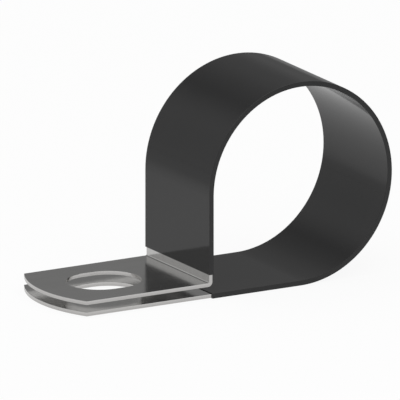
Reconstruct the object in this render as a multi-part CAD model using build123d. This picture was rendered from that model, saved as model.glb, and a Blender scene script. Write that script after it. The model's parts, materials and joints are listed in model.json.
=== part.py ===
"""P clip: a bent metal strap with a plastic coat round its cable loop.

Sizes are in millimetres. The origin is the centre of the bolt slot, on the underside of the lower tab.
+Y runs along the tabs to the loop, +X along the loop's axis, and +Z up from the mounting face.
"""

import os

from build123d import *

# Loop
loop_bore = 32.0            # cable or pipe that the coated loop goes round
loop_from_slot = 30.35      # slot centre to loop centre, along the tabs

# Strap
strap_width = 20.0
strap_thickness = 0.6
strap_edge_break = 0.02     # small flat where the slit and punched edges are deburred

# Tabs
tab_gap = 1.25              # open height between the tabs before a bolt closes it
tip_from_slot = 11.5        # slot centre to the middle of the tab's tip
tip_radius = 20.5           # arc of the tip, seen from above
slot_width = 10.6           # clears an M10 bolt
slot_travel = 1.8           # how far the bolt can be shifted along the strap
bend_radius = 0.2           # inside the bend between leg and upper tab

# Coat
coat_film = 0.1             # on the strap's two faces
coat_side = 0.25            # on the strap's two edges
coat_edge_radius = 0.04
bare_leg = 1.4              # metal left showing on the leg, above the upper tab
bare_under_leg = 0.5        # metal left showing on the lower strip, inside the leg's outer face

# Sections and radii that follow
coated_thickness = strap_thickness + 2 * coat_film
coat_width = strap_width + 2 * coat_side
loop_mid_radius = loop_bore / 2 + coat_film + strap_thickness / 2
bend_mid_radius = bend_radius + strap_thickness / 2

# Places of the strap's middle line
lower_tab_z = strap_thickness / 2
upper_tab_z = lower_tab_z + strap_thickness + tab_gap
tabs_top_z = upper_tab_z + strap_thickness / 2
leg_y = loop_from_slot - loop_mid_radius

# Places where the coat ends
coat_end_y = leg_y - strap_thickness / 2 + bare_under_leg
coat_end_z = tabs_top_z + bare_leg


def loop_and_leg(start_y, leg_end_z):
    """Middle line in the side view: along the lower strip, three quarters round the loop and down the leg."""
    lower_run = Line((start_y, lower_tab_z), (loop_from_slot, lower_tab_z))
    loop = JernArc(lower_run @ 1, lower_run % 1, loop_mid_radius, 270)
    leg = Line(loop @ 1, (leg_y, leg_end_z))
    return lower_run + loop + leg


def bend_and_upper_tab(leg_end_z):
    """Middle line in the side view: out of the leg's end and along the upper tab to its tip."""
    bend = JernArc((leg_y, leg_end_z), (0, -1), bend_mid_radius, -90)
    upper_run = Line(bend @ 1, (-tip_from_slot, upper_tab_z))
    return bend + upper_run


def strip(line, thickness, width):
    """Strip of the given section that follows a line in the side view."""
    side_view = Plane.YZ * trace(line, line_width=thickness)
    return extrude(side_view, amount=width / 2, both=True)


def steel_strap():
    """One strip from tip to tip, with its tips and slots punched and its edges deburred."""
    leg_end_z = upper_tab_z + bend_mid_radius
    line = loop_and_leg(-tip_from_slot, leg_end_z) + bend_and_upper_tab(leg_end_z)
    strap = strip(line, strap_thickness, strap_width)

    tip_circle = Pos(0, tip_radius - tip_from_slot) * Circle(tip_radius)
    tip_corners = Pos(0, -tip_from_slot) * Rectangle(2 * strap_width, 2 * tip_from_slot) - tip_circle
    bolt_slot = SlotCenterToCenter(slot_travel, slot_width, rotation=90)
    strap -= extrude(tip_corners, amount=tabs_top_z)
    strap -= extrude(bolt_slot, amount=tabs_top_z)

    seams = strap.edges().filter_by(Axis.X)
    upright_corners = strap.edges().filter_by(Axis.Z).filter_by_position(Axis.Z, 0, tabs_top_z)
    return chamfer(strap.edges() - seams - upright_corners, strap_edge_break)


def vinyl_coating(strap):
    """Jacket round the loop and most of the leg, with rounded edges, filled by the strap."""
    jacket = strip(loop_and_leg(coat_end_y, coat_end_z), coated_thickness, coat_width)
    outline = jacket.faces().filter_by(Axis.X).edges()
    long_edges = outline.filter_by(lambda edge: edge.length > 2 * coated_thickness)
    return fillet(long_edges, coat_edge_radius) - strap


strap = steel_strap()
coat = vinyl_coating(strap)

os.makedirs("parts", exist_ok=True)
export_step(strap, "parts/steel_strap.step")
export_step(coat, "parts/vinyl_coating.step")
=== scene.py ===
"""Looks of the p clip: a bright strap, its black coat, a pale studio table and the photograph's camera.

Everything is in metres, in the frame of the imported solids: the origin is the centre of the bolt slot on
the underside of the lower tab, +Y runs along the tabs to the loop, +X along the loop's axis, and +Z up.
"""

import json
import math

import bpy
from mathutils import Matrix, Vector


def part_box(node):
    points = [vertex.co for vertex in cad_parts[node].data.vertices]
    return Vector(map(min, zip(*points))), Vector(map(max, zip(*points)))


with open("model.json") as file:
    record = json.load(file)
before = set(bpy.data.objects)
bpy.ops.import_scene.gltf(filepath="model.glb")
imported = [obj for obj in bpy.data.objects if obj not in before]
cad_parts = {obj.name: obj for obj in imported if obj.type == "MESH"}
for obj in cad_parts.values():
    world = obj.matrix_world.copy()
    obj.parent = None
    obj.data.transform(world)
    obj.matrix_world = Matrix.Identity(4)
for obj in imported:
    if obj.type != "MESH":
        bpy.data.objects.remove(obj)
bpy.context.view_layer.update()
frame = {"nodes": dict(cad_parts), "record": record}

# Sizes of the clip that the frame gives
mounts = {mount["name"]: mount for mount in frame["record"]["mounts"]}
slot_sizes = mounts["bolt_slot"]["dims"]
strap_low, strap_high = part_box("steel_strap")
coat_low, coat_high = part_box("vinyl_coating")
LOOP_CENTRE = Vector(mounts["cable_loop"]["pos_m"])
SLOT_RADIUS = slot_sizes["hole_r_mm"] / 1000.0
SLOT_HALF_TRAVEL = slot_sizes["slot_length_mm"] / 2000.0 - SLOT_RADIUS
STRAP_HALF_WIDTH = strap_high.x
COAT_HALF_WIDTH = coat_high.x
COAT_FILM = strap_low.z - coat_low.z
LEG_FACE_Y = coat_low.y + COAT_FILM

# Sizes of the strap that the frame doesn't give, and the places that follow from them
STRAP_THICKNESS = 0.0006
TAB_GAP = 0.00125
BEND_RADIUS = 0.0002
TIP_RADIUS = 0.0205
BETWEEN_TABS_Z = STRAP_THICKNESS + TAB_GAP / 2.0
UPPER_TAB_UNDERSIDE = STRAP_THICKNESS + TAB_GAP
UPPER_TAB_TOP = UPPER_TAB_UNDERSIDE + STRAP_THICKNESS
BEND_START_Y = LEG_FACE_Y - BEND_RADIUS
TIP_CENTRE_Y = strap_low.y + TIP_RADIUS

# Camera: a parallel view, placed by where the loop's centre falls in the picture
VIEW_AZIMUTH = 60.0
VIEW_ELEVATION = 15.0
VIEW_WIDTH = 0.06377
LOOP_RIGHT_OF_MIDDLE = 0.010937
LOOP_ABOVE_MIDDLE = 0.004880
CAMERA_DISTANCE = 0.4
CAMERA_NEAR = 0.01
CAMERA_FAR = 10.0

# Strap: rolled faces with lines along the strap
STEEL_FACE = (0.590, 0.585, 0.575, 1.0)
FACE_ROUGHNESS = 0.16
LINES_PER_METRE = 2500.0
LINE_DETAIL = 3.0
LINE_STRETCH = (1.0, 0.012, 0.012)
LINE_SHADE = 0.08
LINE_ROUGHNESS = 0.05
LINE_RISE = 6e-7

# Strap: cut edges, smooth where the tool sheared them and rougher below, where they broke
CUT_FACING = 0.5
STEEL_SHEARED = (0.605, 0.595, 0.585, 1.0)
STEEL_BROKEN = (0.570, 0.560, 0.550, 1.0)
SHEARED_ROUGHNESS = 0.11
BROKEN_ROUGHNESS = 0.19
BROKEN_HEIGHT = 0.55
BREAK_LINE_SWAY = 0.25
BREAK_LINE_BLUR = 0.05
STREAKS_PER_METRE = 6000.0
STREAK_DETAIL = 2.0
STREAK_STRETCH = (1.0, 1.0, 0.06)
STREAK_SHADE = 0.08
STREAK_RISE = 8e-7

# Strap: painted shade, a dark line inside the bend some degrees up from the tab, where the metal is also
# rougher
BEND_LINE_TURN = 15.0
BEND_LINE_CORE = 0.00004
BEND_LINE_REACH = 0.00014
BEND_LINE_PAINTED_SHADE = 0.45
BEND_LINE_ROUGHNESS = 0.30

# Strap: marks of handling
STEEL_CLOUDS_PER_METRE = 120.0
STEEL_SPECKS_PER_METRE = 450.0
STEEL_RUB_WIDTH = 0.00025
STEEL_CLOUD_SHADE = 0.04
STEEL_CLOUD_ROUGHNESS = 0.05
STEEL_SPECK_ROUGHNESS = 0.22
STEEL_RUB_ROUGHNESS = 0.24

# Coat: glossy black with a faint orange peel
VINYL_BLACK = (0.0100, 0.0100, 0.0103, 1.0)
VINYL_RUBBED = (0.0240, 0.0240, 0.0245, 1.0)
VINYL_ROUGHNESS = 0.09
VINYL_SPECULAR = 0.36
PEEL_PER_METRE = 900.0
PEEL_DETAIL = 1.0
PEEL_RISE = 2.5e-6

# Coat: marks of handling
VINYL_CLOUDS_PER_METRE = 150.0
VINYL_SPECKS_PER_METRE = 350.0
VINYL_RUB_WIDTH = 0.0002
VINYL_CLOUD_SHADE = 0.15
VINYL_CLOUD_ROUGHNESS = 0.04
VINYL_SPECK_ROUGHNESS = 0.14
VINYL_RUB_ROUGHNESS = 0.15

# Marks of handling that strap and coat share
CLOUD_DETAIL = 3.0
SPECK_RADIUS = 0.10
SPECK_CORE = 0.04
RUB_WAVES_PER_METRE = 700.0
RUB_WAVE_DETAIL = 4.0
RUB_WIDTH_SWAY = 1.2

# Table: white to the eye, and in mirrors a pool of light that fades with distance, most beside a band
TABLE_HALF_SIZE = 2.0
TABLE_PAINT = (0.90, 0.90, 0.90, 1.0)
WHITE_SHARE = 0.92
POOL_LEVEL = 0.765
POOL_FAR_LEVEL = 0.55
POOL_INNER = 0.05
POOL_OUTER = 0.16
BAND_AZIMUTH = 30.0
BAND_INNER = 0.045
BAND_OUTER = 0.09
BAND_SPREAD = 0.40
BAND_SIDE_SHARE = 0.37

# Room: a grey that dims at the horizon and lifts overhead, and one broad glow low at the back left
ROOM_LEVEL = 0.215
HORIZON_LEVEL = 0.147
HORIZON_TOP = 0.20
CEILING_LEVEL = 0.28
CEILING_BASE = 0.30
CEILING_TOP = 0.50
GLOW_LEVEL = 0.565
GLOW_AZIMUTH = -150.0
GLOW_ELEVATION = 5.0
GLOW_INNER = 16.0
GLOW_OUTER = 38.0

# Lamps: a wide round one overhead, and a small square one at the front
OVERHEAD_PLACE = (0.0, 0.03, 0.75)
OVERHEAD_SIZE = 1.5
OVERHEAD_LEVEL = 1.0
FRONT_PLACE = (0.60, -0.36, 0.45)
FRONT_SIZE = 0.5
FRONT_LEVEL = 1.5

# Numbers of the sockets that hold colours on a Mix node
COLOUR_A = 6
COLOUR_B = 7
COLOUR_RESULT = 2


# Node helpers

def add_node(tree, kind, inputs=None, **properties):
    """Adds a node, sets its properties, and sets or links its inputs, which are named or numbered."""
    node = tree.nodes.new(kind)
    for name, value in properties.items():
        setattr(node, name, value)
    for name, value in (inputs or {}).items():
        if isinstance(value, bpy.types.NodeSocket):
            tree.links.new(value, node.inputs[name])
        else:
            node.inputs[name].default_value = value
    return node


def maths(tree, operation, first, second=0.0):
    """One step of arithmetic on numbers or sockets."""
    return add_node(tree, "ShaderNodeMath", {0: first, 1: second}, operation=operation).outputs[0]


def swayed(tree, value, middle, sway):
    """A number that moves about its middle by up to sway each way, as a value moves about one half."""
    centred = maths(tree, "SUBTRACT", value, 0.5)
    moved = maths(tree, "MULTIPLY", centred, 2.0 * sway)
    return maths(tree, "ADD", moved, middle)


def ramp(tree, value, from_low, from_high, to_low, to_high):
    """A value carried from one range to another along a soft S curve, and held at both ends."""
    inputs = {
        "Value": value,
        "From Min": from_low,
        "From Max": from_high,
        "To Min": to_low,
        "To Max": to_high,
    }
    node = add_node(tree, "ShaderNodeMapRange", inputs, interpolation_type="SMOOTHSTEP")
    return node.outputs["Result"]


def mixed(tree, share, first, second):
    """Mix of two numbers."""
    inputs = {"Factor": share, "A": first, "B": second}
    return add_node(tree, "ShaderNodeMix", inputs, data_type="FLOAT").outputs["Result"]


def mixed_colour(tree, share, first, second, blend="MIX"):
    """Mix of two colours."""
    inputs = {"Factor": share, COLOUR_A: first, COLOUR_B: second}
    node = add_node(tree, "ShaderNodeMix", inputs, data_type="RGBA", blend_type=blend)
    return node.outputs[COLOUR_RESULT]


def shaded(tree, colour, level):
    """A colour made darker or lighter by a level about 1."""
    return mixed_colour(tree, 1.0, colour, level, "MULTIPLY")


def parts_of(tree, vector):
    """The three parts of a vector, by name."""
    return add_node(tree, "ShaderNodeSeparateXYZ", {0: vector}).outputs


def length_of(tree, vector):
    """Length of a vector."""
    return add_node(tree, "ShaderNodeVectorMath", {0: vector}, operation="LENGTH").outputs["Value"]


def hypotenuse(tree, first, second):
    """Square root of the sum of two squares."""
    return length_of(tree, add_node(tree, "ShaderNodeCombineXYZ", {0: first, 1: second}).outputs[0])


def noise(tree, place, scale, detail, stretch=(1.0, 1.0, 1.0)):
    """Soft random value from 0 to 1, with scale in waves per metre, drawn out where stretch is small."""
    drawn = add_node(tree, "ShaderNodeMapping", {"Vector": place, "Scale": stretch}).outputs["Vector"]
    inputs = {"Vector": drawn, "Scale": scale, "Detail": detail}
    return add_node(tree, "ShaderNodeTexNoise", inputs).outputs["Fac"]


def bump(tree, height):
    """Normal of a surface that is raised by a height in metres."""
    return add_node(tree, "ShaderNodeBump", {"Height": height, "Distance": 1.0}).outputs["Normal"]


# Effects that both finishes share

def new_group(name, inputs, outputs):
    """Empty node group with the named sockets; gives it with the sockets of its two ends."""
    group = bpy.data.node_groups.new(name, "ShaderNodeTree")
    for socket, kind in inputs.items():
        group.interface.new_socket(socket, in_out="INPUT", socket_type=kind)
    for socket in outputs:
        group.interface.new_socket(socket, in_out="OUTPUT", socket_type="NodeSocketFloat")
    given = group.nodes.new("NodeGroupInput").outputs
    wanted = group.nodes.new("NodeGroupOutput").inputs
    return group, given, wanted


def handling_marks():
    """Cloud is soft patches of uneven polish; Specks is 1 on small round spots and 0 between them."""
    inputs = {
        "Place": "NodeSocketVector",
        "Clouds per Metre": "NodeSocketFloat",
        "Specks per Metre": "NodeSocketFloat",
    }
    group, given, wanted = new_group("handling_marks", inputs, ("Cloud", "Specks"))
    cloud = noise(group, given["Place"], given["Clouds per Metre"], CLOUD_DETAIL)
    cells = {"Vector": given["Place"], "Scale": given["Specks per Metre"]}
    from_middle = add_node(group, "ShaderNodeTexVoronoi", cells, feature="F1").outputs["Distance"]
    specks = ramp(group, from_middle, SPECK_CORE, SPECK_RADIUS, 1.0, 0.0)
    group.links.new(cloud, wanted["Cloud"])
    group.links.new(specks, wanted["Specks"])
    return group


def rubbed_edge():
    """Rub is 1 on an edge and falls to 0 at about Width from it; noise makes the width uneven."""
    inputs = {"Place": "NodeSocketVector", "From Edge": "NodeSocketFloat", "Width": "NodeSocketFloat"}
    group, given, wanted = new_group("rubbed_edge", inputs, ("Rub",))
    waves = noise(group, given["Place"], RUB_WAVES_PER_METRE, RUB_WAVE_DETAIL)
    reach = maths(group, "MULTIPLY", given["Width"], swayed(group, waves, 1.0, RUB_WIDTH_SWAY))
    rub = ramp(group, given["From Edge"], 0.0, reach, 1.0, 0.0)
    group.links.new(rub, wanted["Rub"])
    return group


# Finishes

def new_material(name):
    """Empty node material; gives it with its node tree."""
    material = bpy.data.materials.new(name)
    material.use_nodes = True
    material.node_tree.nodes.clear()
    return material, material.node_tree


def show(tree, shader):
    """Makes a shader the material's surface."""
    add_node(tree, "ShaderNodeOutputMaterial", {"Surface": shader.outputs[0]})


def strap_edge_distance(tree, x, y):
    """Distance in plan to the nearest of the strap's long edges, the slot's rim and the tips' arc."""
    to_side = maths(tree, "SUBTRACT", STRAP_HALF_WIDTH, maths(tree, "ABSOLUTE", x))
    past_travel = maths(tree, "SUBTRACT", maths(tree, "ABSOLUTE", y), SLOT_HALF_TRAVEL)
    from_slot_line = hypotenuse(tree, x, maths(tree, "MAXIMUM", past_travel, 0.0))
    to_slot = maths(tree, "SUBTRACT", from_slot_line, SLOT_RADIUS)
    from_tip_centre = hypotenuse(tree, x, maths(tree, "SUBTRACT", y, TIP_CENTRE_Y))
    to_tip = maths(tree, "SUBTRACT", TIP_RADIUS, from_tip_centre)
    return maths(tree, "MINIMUM", to_side, maths(tree, "MINIMUM", to_slot, to_tip))


def cut_edges(tree, normal, y):
    """1 on the slit and punched edges, which face sideways or stand upright on the tabs; 0 elsewhere."""
    facing = parts_of(tree, normal)
    sideways = maths(tree, "ABSOLUTE", facing["X"])
    upright = maths(tree, "SUBTRACT", 1.0, maths(tree, "ABSOLUTE", facing["Z"]))
    on_tabs = maths(tree, "LESS_THAN", y, BEND_START_Y)
    cut = maths(tree, "MAXIMUM", sideways, maths(tree, "MULTIPLY", upright, on_tabs))
    return maths(tree, "GREATER_THAN", cut, CUT_FACING)


def broken_edges(tree, z, streaks):
    """1 on the lower part of a cut edge, where the metal broke, up to an uneven line; 0 above it."""
    on_upper = maths(tree, "GREATER_THAN", z, BETWEEN_TABS_Z)
    tab_underside = maths(tree, "MULTIPLY", on_upper, UPPER_TAB_UNDERSIDE)
    height = maths(tree, "DIVIDE", maths(tree, "SUBTRACT", z, tab_underside), STRAP_THICKNESS)
    line = swayed(tree, streaks, BROKEN_HEIGHT, BREAK_LINE_SWAY)
    below = maths(tree, "SUBTRACT", line, height)
    return ramp(tree, below, -BREAK_LINE_BLUR, BREAK_LINE_BLUR, 0.0, 1.0)


def bend_shade_line(tree, y, z):
    """1 along a line inside the bend, fading with the distance from that line; it places the painted shade
    there and the rougher metal.
    """
    turn = math.radians(BEND_LINE_TURN)
    line_y = BEND_START_Y + BEND_RADIUS * math.sin(turn)
    line_z = UPPER_TAB_TOP + BEND_RADIUS * (1.0 - math.cos(turn))
    along = maths(tree, "SUBTRACT", y, line_y)
    above = maths(tree, "SUBTRACT", z, line_z)
    from_line = hypotenuse(tree, along, above)
    return ramp(tree, from_line, BEND_LINE_CORE, BEND_LINE_REACH, 1.0, 0.0)


def bright_steel(marks, rub):
    """Rolled strip with fine lines along it, faint handling marks, and upright streaks on its cut edges."""
    material, tree = new_material("bright_steel")
    surface = add_node(tree, "ShaderNodeTexCoord").outputs
    place = surface["Object"]
    spot = parts_of(tree, place)

    # Where each pattern lies
    lines = noise(tree, place, LINES_PER_METRE, LINE_DETAIL, LINE_STRETCH)
    streaks = noise(tree, place, STREAKS_PER_METRE, STREAK_DETAIL, STREAK_STRETCH)
    handled = add_node(tree, "ShaderNodeGroup", node_tree=marks, inputs={
        "Place": place,
        "Clouds per Metre": STEEL_CLOUDS_PER_METRE,
        "Specks per Metre": STEEL_SPECKS_PER_METRE,
    }).outputs
    rubbed = add_node(tree, "ShaderNodeGroup", node_tree=rub, inputs={
        "Place": place,
        "From Edge": strap_edge_distance(tree, spot["X"], spot["Y"]),
        "Width": STEEL_RUB_WIDTH,
    }).outputs["Rub"]
    cut = cut_edges(tree, surface["Normal"], spot["Y"])
    broken = broken_edges(tree, spot["Z"], streaks)
    bend_shade_and_tool_mark = bend_shade_line(tree, spot["Y"], spot["Z"])

    # Rolled faces
    cloud_shade = swayed(tree, handled["Cloud"], 1.0, STEEL_CLOUD_SHADE)
    rolled_colour = shaded(tree, STEEL_FACE, swayed(tree, lines, cloud_shade, LINE_SHADE))
    # Painted shade: the inside of the bend is darkened along a line
    face_colour = shaded(tree, rolled_colour, mixed(tree, bend_shade_and_tool_mark, 1.0, BEND_LINE_PAINTED_SHADE))
    cloud_roughness = swayed(tree, handled["Cloud"], FACE_ROUGHNESS, STEEL_CLOUD_ROUGHNESS)
    line_roughness = swayed(tree, lines, cloud_roughness, LINE_ROUGHNESS)
    speck_roughness = mixed(tree, handled["Specks"], line_roughness, STEEL_SPECK_ROUGHNESS)
    rub_roughness = mixed(tree, rubbed, speck_roughness, STEEL_RUB_ROUGHNESS)
    face_roughness = mixed(tree, bend_shade_and_tool_mark, rub_roughness, BEND_LINE_ROUGHNESS)
    face_height = maths(tree, "MULTIPLY", lines, LINE_RISE)

    # Cut edges
    edge_metal = mixed_colour(tree, broken, STEEL_SHEARED, STEEL_BROKEN)
    edge_colour = shaded(tree, edge_metal, swayed(tree, streaks, 1.0, STREAK_SHADE))
    edge_roughness = mixed(tree, broken, SHEARED_ROUGHNESS, BROKEN_ROUGHNESS)
    edge_height = maths(tree, "MULTIPLY", streaks, STREAK_RISE)

    show(tree, add_node(tree, "ShaderNodeBsdfPrincipled", {
        "Base Color": mixed_colour(tree, cut, face_colour, edge_colour),
        "Metallic": 1.0,
        "Roughness": mixed(tree, cut, face_roughness, edge_roughness),
        "Normal": bump(tree, mixed(tree, cut, face_height, edge_height)),
    }))
    return material


def black_vinyl(marks, rub):
    """Dipped plastic: glossy black, a faint orange peel, uneven gloss, and slightly paler rubbed edges."""
    material, tree = new_material("black_vinyl")
    place = add_node(tree, "ShaderNodeTexCoord").outputs["Object"]
    across = maths(tree, "ABSOLUTE", parts_of(tree, place)["X"])

    # Where each pattern lies
    peel = noise(tree, place, PEEL_PER_METRE, PEEL_DETAIL)
    handled = add_node(tree, "ShaderNodeGroup", node_tree=marks, inputs={
        "Place": place,
        "Clouds per Metre": VINYL_CLOUDS_PER_METRE,
        "Specks per Metre": VINYL_SPECKS_PER_METRE,
    }).outputs
    rubbed = add_node(tree, "ShaderNodeGroup", node_tree=rub, inputs={
        "Place": place,
        "From Edge": maths(tree, "SUBTRACT", COAT_HALF_WIDTH, across),
        "Width": VINYL_RUB_WIDTH,
    }).outputs["Rub"]

    # Colour and gloss
    rubbed_colour = mixed_colour(tree, rubbed, VINYL_BLACK, VINYL_RUBBED)
    cloud_shade = swayed(tree, handled["Cloud"], 1.0, VINYL_CLOUD_SHADE)
    cloud_roughness = swayed(tree, handled["Cloud"], VINYL_ROUGHNESS, VINYL_CLOUD_ROUGHNESS)
    speck_roughness = mixed(tree, handled["Specks"], cloud_roughness, VINYL_SPECK_ROUGHNESS)

    show(tree, add_node(tree, "ShaderNodeBsdfPrincipled", {
        "Base Color": shaded(tree, rubbed_colour, cloud_shade),
        "Roughness": mixed(tree, rubbed, speck_roughness, VINYL_RUB_ROUGHNESS),
        "Specular IOR Level": VINYL_SPECULAR,
        "Normal": bump(tree, maths(tree, "MULTIPLY", peel, PEEL_RISE)),
    }))
    return material


def pool_of_light(tree):
    """Brightness of the table in mirrors: less far from the loop, and less beside a band that spreads."""
    from_loop = add_node(tree, "ShaderNodeMapping", vector_type="TEXTURE", inputs={
        "Vector": add_node(tree, "ShaderNodeTexCoord").outputs["Object"],
        "Location": LOOP_CENTRE,
        "Rotation": (0.0, 0.0, math.radians(BAND_AZIMUTH)),
    }).outputs["Vector"]
    spot = parts_of(tree, from_loop)
    along = maths(tree, "ABSOLUTE", spot["X"])
    across = maths(tree, "ABSOLUTE", spot["Y"])
    beside = maths(tree, "SUBTRACT", across, maths(tree, "MULTIPLY", along, BAND_SPREAD))
    pool = ramp(tree, length_of(tree, from_loop), POOL_INNER, POOL_OUTER, POOL_LEVEL, POOL_FAR_LEVEL)
    band = ramp(tree, beside, BAND_INNER, BAND_OUTER, 1.0, BAND_SIDE_SHARE)
    return maths(tree, "MULTIPLY", pool, band)


def pale_table():
    """Pale paint that keeps the clip's shadow, with a light of its own for the eye and for mirrors."""
    material, tree = new_material("pale_table")
    ray = add_node(tree, "ShaderNodeLightPath").outputs
    mirrored = maths(tree, "MAXIMUM", ray["Is Glossy Ray"], ray["Is Transmission Ray"])
    looked_at = maths(tree, "MAXIMUM", ray["Is Camera Ray"], mirrored)
    level = mixed(tree, ray["Is Camera Ray"], pool_of_light(tree), 1.0)
    paint = add_node(tree, "ShaderNodeBsdfDiffuse", {"Color": TABLE_PAINT}).outputs[0]
    light = add_node(tree, "ShaderNodeEmission", {"Strength": level}).outputs[0]
    share = maths(tree, "MULTIPLY", looked_at, WHITE_SHARE)
    show(tree, add_node(tree, "ShaderNodeMixShader", {0: share, 1: paint, 2: light}))
    return material


# Studio

def direction(azimuth, elevation):
    """Unit vector at an azimuth from +X towards +Y and an elevation above the table, both in degrees."""
    turn = math.radians(azimuth)
    rise = math.radians(elevation)
    return Vector((math.cos(turn) * math.cos(rise), math.sin(turn) * math.cos(rise), math.sin(rise)))


def put_in_scene(name, data, place, back):
    """Object at a place, turned so that its own +Z points along back."""
    thing = bpy.data.objects.new(name, data)
    thing.location = place
    thing.rotation_mode = "QUATERNION"
    thing.rotation_quaternion = back.to_track_quat("Z", "Y")
    bpy.context.scene.collection.objects.link(thing)
    return thing


def table():
    """Flat square under the coat's lowest face."""
    half = TABLE_HALF_SIZE
    plan = ((-half, -half), (half, -half), (half, half), (-half, half))
    mesh = bpy.data.meshes.new("table")
    mesh.from_pydata([(x, y, coat_low.z) for x, y in plan], [], [(0, 1, 2, 3)])
    mesh.materials.append(pale_table())
    top = bpy.data.objects.new("table", mesh)
    bpy.context.scene.collection.objects.link(top)


def camera():
    """Parallel view from the photograph's side, where azimuth 0 looks along +Y."""
    back = direction(VIEW_AZIMUTH - 90.0, VIEW_ELEVATION)
    right = direction(VIEW_AZIMUTH, 0.0)
    up = back.cross(right)
    middle = LOOP_CENTRE - LOOP_RIGHT_OF_MIDDLE * right - LOOP_ABOVE_MIDDLE * up
    data = bpy.data.cameras.new("camera")
    data.type = "ORTHO"
    data.ortho_scale = VIEW_WIDTH
    data.clip_start = CAMERA_NEAR
    data.clip_end = CAMERA_FAR
    bpy.context.scene.camera = put_in_scene("camera", data, middle + CAMERA_DISTANCE * back, back)


def lamp(name, shape, place, size, level):
    """Flat lamp that faces the loop; level is the brightness of its face, where 1 is white."""
    face_area = size * size
    if shape == "DISK":
        face_area = math.pi * size * size / 4.0
    data = bpy.data.lights.new(name, "AREA")
    data.shape = shape
    data.size = size
    data.energy = level * math.pi * face_area
    light = put_in_scene(name, data, place, Vector(place) - LOOP_CENTRE)
    light.visible_camera = False


def room():
    """World light by direction: a grey by height, and a glow that fades away from its middle."""
    world = bpy.data.worlds.new("room")
    bpy.context.scene.world = world
    world.use_nodes = True
    tree = world.node_tree
    way = add_node(tree, "ShaderNodeTexCoord").outputs["Generated"]
    height = parts_of(tree, way)["Z"]
    upper = ramp(tree, height, CEILING_BASE, CEILING_TOP, ROOM_LEVEL, CEILING_LEVEL)
    grey = ramp(tree, height, 0.0, HORIZON_TOP, HORIZON_LEVEL, upper)
    glow_way = direction(GLOW_AZIMUTH, GLOW_ELEVATION)
    towards = add_node(tree, "ShaderNodeVectorMath", {0: way, 1: glow_way}, operation="DOT_PRODUCT")
    outer = math.cos(math.radians(GLOW_OUTER))
    inner = math.cos(math.radians(GLOW_INNER))
    light = ramp(tree, towards.outputs["Value"], outer, inner, grey, GLOW_LEVEL)
    seen = add_node(tree, "ShaderNodeLightPath").outputs["Is Camera Ray"]
    backdrop = tree.nodes["Background"].inputs
    backdrop["Color"].default_value = (1.0, 1.0, 1.0, 1.0)
    tree.links.new(mixed(tree, seen, light, 1.0), backdrop["Strength"])


# The dressed clip in its studio
marks = handling_marks()
rub = rubbed_edge()
frame["nodes"]["steel_strap"].material_slots[0].material = bright_steel(marks, rub)
frame["nodes"]["vinyl_coating"].material_slots[0].material = black_vinyl(marks, rub)
table()
camera()
room()
lamp("overhead", "DISK", OVERHEAD_PLACE, OVERHEAD_SIZE, OVERHEAD_LEVEL)
lamp("front", "SQUARE", FRONT_PLACE, FRONT_SIZE, FRONT_LEVEL)
bpy.context.scene.view_settings.view_transform = "Standard"
